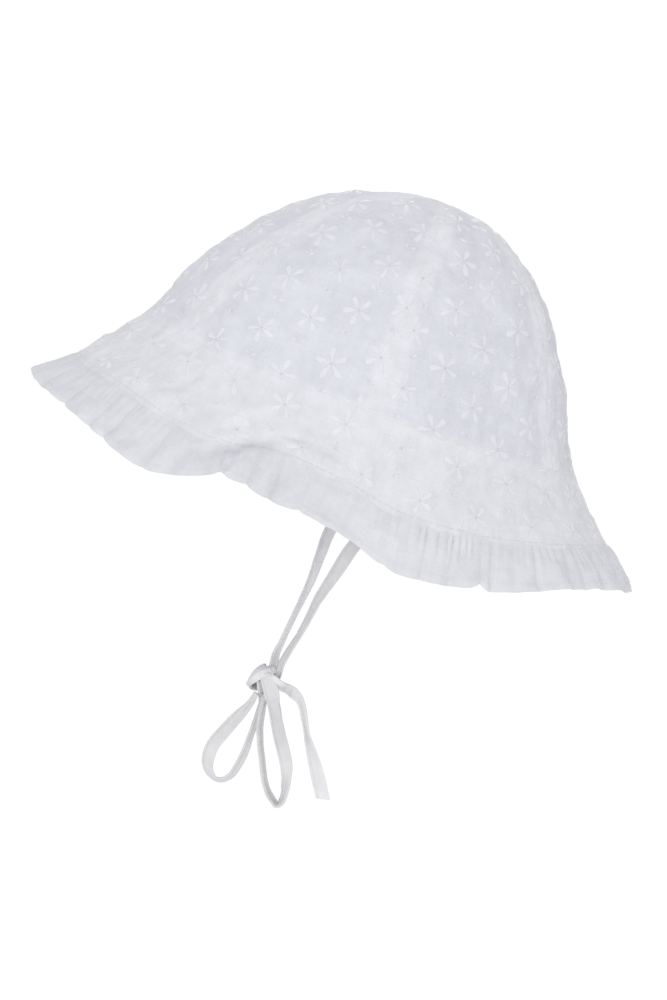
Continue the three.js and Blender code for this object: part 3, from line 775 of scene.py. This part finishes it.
def bead(length, thick, height):
    """A single stitch that lies across the cloth's grain."""
    along, tube = grid(np.array([-1, -0.8, 0, 0.8, 1]), np.arange(6) * np.pi / 3)
    swell = thick * np.array([0.25, 0.8, 1, 0.8, 0.25])[:, None]
    place = np.stack([along * length / 2, swell * np.cos(tube)], -1).reshape(-1, 2)
    high = (height * (1 - 0.6 * along**4) + swell * np.sin(tube)).ravel()
    faces = [list(range(6))[::-1], list(range(24, 30))]
    for i in range(4):
        for j in range(6):
            faces.append([i * 6 + j, i * 6 + (j + 1) % 6, (i + 1) * 6 + (j + 1) % 6, (i + 1) * 6 + j])
    uv = np.stack([(tube * thick).ravel(), (along * length / 2).ravel()], -1)
    return place, high, uv, faces


def on_cloth(name, drawn):
    """One mesh of all these motifs' shapes, laid on the worked cloth of one surface."""
    angles, shares, heights, uvs, faces, count = [], [], [], [], [], 0
    for motif, (place, high, uv, shape) in drawn:
        angle = motif.angle + place @ np.array([motif.cross[0], motif.up[0]])
        share = motif.share + place @ np.array([motif.cross[1], motif.up[1]])
        low, high_angle, bottom, top = motif.limits
        inside = (angle > low) & (angle < high_angle) & (share > bottom) & (share < top)
        if inside.mean() < 0.3:
            continue
        angles.append(np.clip(angle, low, high_angle))
        shares.append(np.clip(share, bottom, top))
        heights.append(np.where(inside, high, -0.0002))
        uvs.append(uv)
        faces += [[v + count for v in face] for face in shape]
        count += len(place)
    motif = drawn[0][0]
    points = cloth_point(
        motif.surface, motif.relief, np.concatenate(angles), np.concatenate(shares), np.concatenate(heights)
    )
    return mesh_object(name, tilted(points), faces, np.concatenate(uvs))


def draw_flower(motif, chance, raised, threads, rings, hole_shades):
    """Five satin petals round an eyelet, and the small sprig below them."""
    first = (np.pi / 2 if motif.turned else -np.pi / 2) + np.radians(chance.normal(0, 7))
    size = chance.uniform(0.95, 1.05)
    for number in range(5):
        turn = first + number * 2 * np.pi / 5 + np.radians(chance.normal(0, 4))
        length = size * chance.uniform(0.00535, 0.00595)
        width = size * chance.uniform(0.0020, 0.0028)
        height = raised * chance.uniform(0.00016, 0.00023)
        threads.append((motif, petal(length, width, height, 0.0006, turn, bend=chance.normal(0, 0.04))))
    rings.append((motif, torus(0.00042, 0.00018, 0.00004)))
    # A dark disc in the ring is painted shade for the eyelet's hole.
    hole_shades.append((motif, disc(0.00026, 0.00010)))
    lean = chance.normal(0, 0.12)
    foot = (0.0004 * chance.normal(), -0.0118)
    threads.append((motif, petal(0.0038, 0.00062, 0.0002, 0, np.pi / 2 + lean, foot, bend=0.05)))
    for side in (-1, 1):
        turn = np.pi / 2 + side * chance.uniform(0.7, 1.1)
        length, width = chance.uniform(0.0020, 0.0030), chance.uniform(0.0012, 0.0017)
        threads.append((motif, petal(length, width, 0.00028, 0.0002, turn, foot)))


def draw_embroidery():
    """The crown's and the brim's embroidery, and dark discs of painted shade in the eyelet holes."""
    chance = np.random.default_rng(12)
    made = []
    for where, flowers, raised in (("crown", CROWN_FLOWERS, 1.0), ("brim", BRIM_FLOWERS, 0.75)):
        threads, rings, hole_shades = [], [], []
        for motif in flowers:
            draw_flower(motif, chance, raised, threads, rings, hole_shades)
        made.append(on_cloth(f"embroidery_{where}", threads + rings))
        made.append(on_cloth(f"eyelets_{where}", hole_shades))
    return made


def draw_stitches():
    """The row of stitches that holds the ruffle, along the brim's lower edge."""
    share = (BRIM_WIDTH - STITCH_ROW) / FULL_WIDTH
    fine = np.linspace(-180, 180, 3601)
    line = brim_point(fine, np.full(3601, share))
    walked = walked_along(line)
    count = int(walked[-1] / STITCH_PITCH)
    angles = np.interp(np.arange(count) / count * walked[-1], walked, fine)
    across, _ = slopes(brim_point, angles, np.full(count, share))
    drawn = []
    for angle, heading in zip(angles, unit(across)):
        motif = Motif(brim_point, brim_relief, angle, share, heading, EVERYWHERE)
        drawn.append((motif, bead(0.0021, 0.00015, 0.00007)))
    return on_cloth("stitching", drawn)



def crowded(count, low, high):
    """Shares from 0 to 1 that lie this many times closer together at their start and at their end."""
    at = np.linspace(0, 1, count - 1)
    steps = 1 - (1 - 1 / low) * np.exp(-((at / 0.1) ** 2)) - (1 - 1 / high) * np.exp(-(((1 - at) / 0.1) ** 2))
    return np.concatenate([[0], np.cumsum(steps)]) / steps.sum()


def faces_of(surface, relief, angle, share, thick):
    """The cloth's outer and inner points, and the plain shell that they stand on."""
    shell, facing, lift = surface(angle, share), outside(surface, angle, share), relief(angle, share)
    return shell, shell + facing * lift[..., None], shell + facing * (lift - thick)[..., None]


def make_panel(name):
    low, high = PANELS[name]
    across = crowded(60, 3, 3)
    rises = crowded(104, 3, 1) * 0.9985
    rise, share = grid(rises, across)
    angle = low + (high - low) * share
    off, _ = to_seams(angle, rise)
    climb = up_crown(rise)
    thick = 0.0008 + 0.0006 * smooth((ALLOWANCE - off) / 0.0007) + 0.0004 * smooth((0.007 - climb) / 0.0007)
    thick = thick * (0.35 + 0.65 * smooth(np.minimum(off, climb) / 0.0008))
    shell, outer, inner = faces_of(crown_point, crown_relief, angle, rise, thick)
    degree = np.linalg.norm(slopes(crown_point, angle, rise)[0], axis=-1)
    uv = np.stack([(angle - (low + high) / 2) * degree, climb], -1)
    band = 0.0046 + 0.0035 * (1 - climb / CLIMB[-1]) + 0.0012 * noise(shell, 0.011, 61)
    ply_and_painted_light = np.maximum(smooth((band - off) / 0.0028), 0.7 * smooth((0.0035 - climb) / 0.0025))
    ply_and_painted_light = ply_and_painted_light * (0.9 + 0.25 * noise(shell, 0.014, 62))
    return wall(f"panel_{name}", outer, inner, uv, ply_and_painted_light, False)


def make_brim():
    reach, angle = grid(crowded(34, 3, 3) * BRIM_WIDTH / FULL_WIDTH, np.linspace(-180, 180, 801)[:-1])
    down = reach * FULL_WIDTH
    thick = 0.0010 + 0.0004 * smooth((0.007 - down) / 0.0007)
    thick = thick * (0.35 + 0.65 * smooth(down / 0.0008))
    shell, outer, inner = faces_of(brim_point, brim_relief, angle, reach, thick)
    uv = np.stack([np.radians(angle) * 0.088, -down], -1)[::-1]
    edge = 0.0062 + 0.0016 * noise(shell, 0.011, 63)
    ply_and_painted_light = smooth((edge - down) / 0.0034) * (0.75 + 0.35 * noise(shell, 0.02, 64))
    return wall("brim_cloth", outer[::-1], inner[::-1], uv, ply_and_painted_light[::-1], True)


def make_ruffle():
    drops = np.concatenate([[-0.0014, -0.0006], np.linspace(0, 1, 19) * RUFFLE_WIDTH])
    drop, angle = grid(drops, np.linspace(-180, 180, 1701)[:-1])
    middle = ruffle_point(angle, drop)
    round_hat = np.roll(middle, -1, 1) - np.roll(middle, 1, 1)
    down = np.gradient(middle, axis=0)
    facing = unit(np.cross(down, round_hat))
    to_hem = RUFFLE_WIDTH - drop
    half = 0.00032 + 0.0002 * smooth((HEM_FOLD - to_hem) / 0.0005) - 0.00016 * hump(to_hem - 0.0028, 0.0003)
    half = half * (0.4 + 0.6 * smooth(to_hem / 0.0005))
    weave = 0.00007 * noise(middle, 0.0035, 31)
    outer = (middle + facing * (half + weave)[..., None])[::-1]
    inner = (middle - facing * (half - weave)[..., None])[::-1]
    uv = np.stack([np.radians(angle) * 0.12, -drop], -1)[::-1]
    ply_and_painted_light = 0.55 + 0.45 * smooth((HEM_FOLD - to_hem)[::-1] / 0.0006)
    return wall("ruffle_cloth", outer, inner, uv, ply_and_painted_light, True)


# Across a tape, from edge to edge over its face and back under it, with a stitched groove near one edge.
TAPE_SIDES = (-0.5, -0.485, -0.44, -0.36, -0.325, -0.29, -0.15, 0, 0.15, 0.29, 0.38, 0.44, 0.485, 0.5)
TAPE_FACES = (0, 0.27, 0.45, 0.5, 0.3, 0.5, 0.53, 0.54, 0.53, 0.5, 0.49, 0.45, 0.27, 0)
TAPE_RING = [*zip(TAPE_SIDES, TAPE_FACES)]
TAPE_RING = np.array(TAPE_RING + [(side, -face) for side, face in TAPE_RING[-2:0:-1]])


def ribbon(points, facing, share, seed, slant=0.0, cup=-0.0004, ring=False):
    """A flat tape's points, UVs and faces along a line, with the side that it shows at each point."""
    along = np.roll(points, -1, 0) - np.roll(points, 1, 0) if ring else np.gradient(points, axis=0)
    along = unit(along)
    facing = unit(facing - along * (facing * along).sum(-1, keepdims=True))
    across = np.cross(facing, along)
    walked = walked_along(points)
    side, face = TAPE_RING[:, 0], TAPE_RING[:, 1]
    width = TIE_WIDTH * share[:, None]
    thick = TIE_THICKNESS * (1 + 0.9 * np.clip(1 - share, 0, 1))[:, None]
    squeezed = np.clip(1 - share, 0, 1)[:, None]
    level = 0 * width + 0 * side
    spot = np.stack([walked[:, None] + 0 * side, side * TIE_WIDTH + 0 * width, level + seed * 0.013], -1)
    wavy = 0.00022 * noise(spot, 0.009, 41) + 0.0001 * noise(spot, 0.003, 42)
    bowl = (cup + 0.0006 * noise(spot[:, :1] * [1, 0, 1], 0.02, 43)) * (4 * side**2 - 0.5)
    pleats = squeezed * 0.0011 * np.cos(side * 2 * np.pi * 1.6 + seed)
    reach_out = face * thick + wavy + bowl * (1 - squeezed) + pleats
    edge = side * width * (1 + 0.05 * noise(spot[:, :1] * [1, 0, 1] + 0.5, 0.012, 44))
    lengthwise = slant * side * np.clip(1 - (walked[-1] - walked) / 0.006, 0, 1)[:, None]
    spots = points[:, None] + across[:, None] * edge[..., None] + facing[:, None] * reach_out[..., None]
    spots = spots + along[:, None] * lengthwise[..., None]
    count, corners = spots.shape[:2]
    faces = [list(f) for f in grid_faces(count, corners, True, True)]
    if ring:
        last = (count - 1) * corners
        faces += [[last + v, v, (v + 1) % corners, last + (v + 1) % corners] for v in range(corners)]
    else:
        faces += [list(range(corners)), list(range((count - 1) * corners, count * corners))[::-1]]
    uv = np.stack([side * TIE_WIDTH + 0 * width, walked[:, None] + 0 * side], -1)
    return spots.reshape(-1, 3), uv.reshape(-1, 2), faces


def tape_line(route):
    """A cord's points, the sides it shows and its width shares, from its route's rows."""
    rows = np.array(route, float)
    line = open_rows(rows, np.linspace(0, len(rows) - 1, (len(rows) - 1) * 12 + 1))
    points, turn, share = line[:, :3], np.radians(line[:, 3:4]), line[:, 4]
    along = unit(np.gradient(points, axis=0))
    across = unit(np.cross(along, [0, 1, 0]))
    across = across * np.cos(turn) + np.cross(along, across) * np.sin(turn)
    return points, np.cross(along, across), share


def make_tape(name, route, seed, painted_light_and_shade, slant):
    """One cord of the ties or the bow. Its pair of tones is the tape's ply value before and after the middle,
    which here is painted light and shade set for each tape, not a double layer.
    """
    points, facing, share = tape_line(route)
    spots, uv, faces = ribbon(points, facing, share, seed, slant, 0.0002)
    ply_and_painted_light = painted_light_and_shade[0] + (painted_light_and_shade[1] - painted_light_and_shade[0]) * smooth((np.linspace(0, 1, len(spots)) - 0.52) / 0.2)
    tape = mesh_object(name, spots, faces, uv, ply_and_painted_light)
    return tape


def make_knot():
    """The knot: a core of crossed cloth, a turn of tape that crosses it, and a wrap of tape round it."""
    points, uvs, faces, count = [], [], [], 0

    def add(spots, uv, shape):
        nonlocal count
        points.append(spots)
        uvs.append(uv)
        faces.extend([[v + count for v in face] for face in shape])
        count += len(spots)

    wrap, crossing, centre = np.array(KNOT_WRAP), np.array(KNOT_CROSSING), np.array(KNOT_CENTRE)
    line = ring_rows(wrap, np.arange(0, len(wrap), 1 / 12))
    add(*ribbon(line[:, :3], line[:, :3] - centre, line[:, 3], 7, ring=True))
    line = open_rows(crossing, np.linspace(0, len(crossing) - 1, 109))
    add(*ribbon(line[:, :3], line[:, :3] - centre, line[:, 3], 8))
    turn, rise = grid(np.arange(36) * np.pi / 18, np.linspace(0, np.pi, 21)[1:-1])
    ball = np.stack([np.sin(rise) * np.cos(turn), np.sin(rise) * np.sin(turn), np.cos(rise)], -1)
    folds = 1 + 0.08 * noise(ball, 0.5, 51) + 0.05 * np.cos(7 * turn + 3 * rise)
    spots = centre + [0, 0.0006, 0] + ball * KNOT_CORE * folds[..., None]
    shape = [list(f) for f in grid_faces(19, 36, True, True)]
    spots = spots.transpose(1, 0, 2)
    shape += [list(range(36)), list(range(18 * 36, 19 * 36))[::-1]]
    add(spots.reshape(-1, 3), spots.reshape(-1, 3)[:, [0, 2]], shape)
    everything = np.concatenate(points)
    # The knot's even value of 0.3 is painted light and shade, like the tapes' tones.
    return mesh_object("knot", everything, faces, np.concatenate(uvs), np.full(len(everything), 0.3))



class Shading:
    """A material's node tree, with short ways to add nodes."""

    def __init__(self, name):
        self.material = bpy.data.materials.new(name)
        self.material.use_nodes = True
        self.tree = self.material.node_tree
        self.shader = self.tree.nodes["Principled BSDF"]

    def node(self, kind, settings=(), **inputs):
        made = self.tree.nodes.new("ShaderNode" + kind)
        for name, value in dict(settings).items():
            setattr(made, name, value)
        for name, value in inputs.items():
            self.put(made.inputs[int(name[1:]) if name[0] == "_" else name.replace("_", " ")], value)
        return made

    def put(self, socket, value):
        if isinstance(value, bpy.types.NodeSocket):
            self.tree.links.new(value, socket)
        else:
            socket.default_value = value

    def math(self, operation, *values):
        made = self.node("Math", {"operation": operation})
        for socket, value in zip(made.inputs, values):
            self.put(socket, value)
        return made.outputs[0]

    def mix(self, share, first, second):
        made = self.node("MixRGB")
        for socket, value in zip(made.inputs, (share, first, second)):
            self.put(socket, value)
        return made.outputs[0]

    def scaled(self, colour, shade):
        made = self.node("VectorMath", {"operation": "SCALE"}, _0=colour, Scale=shade)
        return made.outputs[0]

    def finish(self, colour, rough, specular, normal=None):
        self.put(self.shader.inputs["Base Color"], colour)
        self.put(self.shader.inputs["Roughness"], rough)
        self.shader.inputs["Specular IOR Level"].default_value = specular
        if normal is not None:
            self.put(self.shader.inputs["Normal"], normal)

    def noise(self, where, scale, detail=2.0, stretch=(1, 1, 1)):
        spot = self.node("Mapping", Vector=where, Scale=stretch).outputs[0]
        return self.node("TexNoise", Vector=spot, Scale=scale, Detail=detail).outputs[0]

    def bump(self, height, distance, strength, normal=None):
        made = self.node("Bump", Height=height, Distance=distance, Strength=strength)
        if normal is not None:
            self.put(made.inputs["Normal"], normal)
        return made.outputs[0]


def cotton(name, single_ply_and_painted_shade, double_ply_and_painted_light, thread=0.00042, crinkle=0.35, woven=1.0):
    """Plain woven cotton: crossing threads, slubs and soft crinkles, whiter where it lies double. On the ties
    and the knot the same two colours are blended as painted light and shade.
    """
    s = Shading(name)
    uv = s.node("UVMap", {"uv_map": "cloth"}).outputs[0]
    place = s.node("TexCoord").outputs["Object"]
    parts = s.node("SeparateXYZ", _0=uv)
    turns = 2 * np.pi / thread
    warp = s.math("SINE", s.math("MULTIPLY", parts.outputs[0], turns))
    weft = s.math("SINE", s.math("MULTIPLY", parts.outputs[1], turns))
    weave = s.math("MULTIPLY", warp, weft)
    slub_up = s.noise(uv, 1.0, 1.0, (1900, 55, 1))
    slub_across = s.noise(uv, 1.0, 1.0, (48, 1700, 1))
    slubs = s.math("ADD", slub_up, slub_across)
    soft = s.noise(place, 210, 3.0)
    fine = s.noise(place, 900, 2.0)
    normal = s.bump(soft, 0.0012, crinkle)
    normal = s.bump(slubs, 0.00016, 0.5 * woven, normal)
    normal = s.bump(weave, 0.00007, 0.55 * woven, normal)
    ply_and_painted_light = s.node("Attribute", {"attribute_name": "ply_and_painted_light"}).outputs["Fac"]
    base = s.mix(ply_and_painted_light, (*single_ply_and_painted_shade, 1), (*double_ply_and_painted_light, 1))
    patch = s.noise(place, 70, 3.0)
    thin = s.noise(place, 210, 2.0)
    shade = s.math("MULTIPLY_ADD", patch, 0.18, 0.91)
    slub_shade = 0.07 * woven
    for part, much, rest in (
        (thin, 0.14, 0.93), (slubs, slub_shade, 1 - slub_shade), (fine, 0.04, 0.98), (weave, 0.012, 1.0),
    ):
        shade = s.math("MULTIPLY", shade, s.math("MULTIPLY_ADD", part, much, rest))
    rough = s.math("MULTIPLY_ADD", slubs, 0.08, 0.82)
    s.finish(s.scaled(base, shade), rough, 0.2, normal)
    s.shader.inputs["Sheen Weight"].default_value = 0.1
    s.shader.inputs["Sheen Roughness"].default_value = 0.5
    return s.material


def satin(name, colour, pitch, rough=0.5):
    """Embroidery or sewing thread: shining ridges across the stitched pad."""
    s = Shading(name)
    uv = s.node("UVMap", {"uv_map": "cloth"}).outputs[0]
    place = s.node("TexCoord").outputs["Object"]
    parts = s.node("SeparateXYZ", _0=uv)
    wander = s.noise(place, 700, 1.0)
    along = s.math("MULTIPLY_ADD", wander, 0.00012, parts.outputs[1])
    ridge = s.math("SINE", s.math("MULTIPLY", along, 2 * np.pi / pitch))
    normal = s.bump(s.noise(place, 1600, 2.0), 0.00008, 0.4)
    normal = s.bump(ridge, 0.00006, 0.7, normal)
    shade = s.math("MULTIPLY_ADD", ridge, 0.025, 0.975)
    shade = s.math("MULTIPLY", shade, s.math("MULTIPLY_ADD", s.noise(place, 110, 2.0), 0.16, 0.92))
    s.finish(s.scaled(colour, shade), s.math("MULTIPLY_ADD", wander, 0.12, rough - 0.06), 0.35, normal)
    s.shader.inputs["Sheen Weight"].default_value = 0.2
    return s.material


def shadowed(name):
    """Painted shade: the dark seen through an eyelet's hole, on a disc laid over the cloth."""
    s = Shading(name)
    place = s.node("TexCoord").outputs["Object"]
    tone = s.mix(s.noise(place, 2500, 2.0), (0.36, 0.36, 0.38, 1), (0.52, 0.52, 0.55, 1))
    s.finish(tone, 1, 0)
    return s.material



def finish_piece(piece, material, slot, *nodes):
    piece.data.materials.append(material)
    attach(piece, "root")
    if nodes:
        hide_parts(*nodes)
    return piece


crown_cotton = cotton("crown_cotton", (0.555, 0.562, 0.607), (0.60, 0.605, 0.64))
brim_cotton = cotton("brim_cotton", (0.578, 0.581, 0.615), (0.603, 0.608, 0.636))
# The ruffle's colours are a little darker than the crown's single cloth of the same cotton: painted shade for
# the shade in its gathers.
ruffle_cotton = cotton("ruffle_cotton", (0.542, 0.548, 0.583), (0.565, 0.571, 0.604))
# For the ties the two colours are not single and double cloth: the tapes' values blend them as painted light
# and shade.
tie_cotton = cotton("tie_cotton", (0.50, 0.50, 0.513), (0.80, 0.80, 0.818), 0.00036, 0.1, 0.16)
embroidery_thread = satin("embroidery_thread", (0.635, 0.64, 0.68), 0.00034)
sewing_thread = satin("sewing_thread", (0.62, 0.625, 0.65), 0.0003, 0.6)
eyelet_shade = shadowed("eyelet_shade")

knot = finish_piece(make_knot(), tie_cotton, "tie_tape", "bow_knot")
# The fifth column is painted light and shade: each tape's tone before and after its middle, set for the light
# and shade that tape gets.
TAPES = (
    ("tape_left", TIE_LEFT[:-2] + TIE_LEFT_END, "knot", 1, (0.1, 0.1), "tie_left", 0.0, [knot]),
    ("tape_right", TIE_RIGHT[:-1] + TIE_RIGHT_END, "knot", 2, (1.0, 0.4), "tie_right", 0.0, []),
    ("loop_front", LOOP_FRONT[:-1] + LOOP_FRONT_END, "object", 3, (0.15, 0.15), "bow_loop_front", 0.0, []),
    ("loop_back", LOOP_BACK_START + LOOP_BACK[1:], "object", 4, (0.15, 0.15), "bow_loop_back", 0.0, []),
    ("tail_front", TAIL_FRONT_START + TAIL_FRONT[1:], "bare", 5, (0.4, 0.4), "bow_tail_front", 0.0018, []),
    ("tail_back", TAIL_BACK, "bare", 6, (0.3, 0.3), "bow_tail_back", -0.0016, []),
)
for name, route, far_end, seed, painted_light_and_shade, node, slant, extra in TAPES:
    piece = make_tape(name, route, seed, painted_light_and_shade, slant)
    finish_piece(piece, tie_cotton, "tie_tape", node)

for name in PANELS:
    finish_piece(make_panel(name), crown_cotton, "crown_cloth", "crown_panel_" + name)
finish_piece(make_brim(), brim_cotton, "brim_cloth", "brim")
ruffle = finish_piece(make_ruffle(), ruffle_cotton, "ruffle_cloth", "ruffle")

for piece in draw_embroidery():
    # The dark discs in the eyelet rings are painted shade.
    if piece.name.startswith("eyelets"):
        finish_piece(piece, eyelet_shade, "embroidery_thread")
    else:
        finish_piece(piece, embroidery_thread, "embroidery_thread")
finish_piece(draw_stitches(), sewing_thread, "sewing_thread")
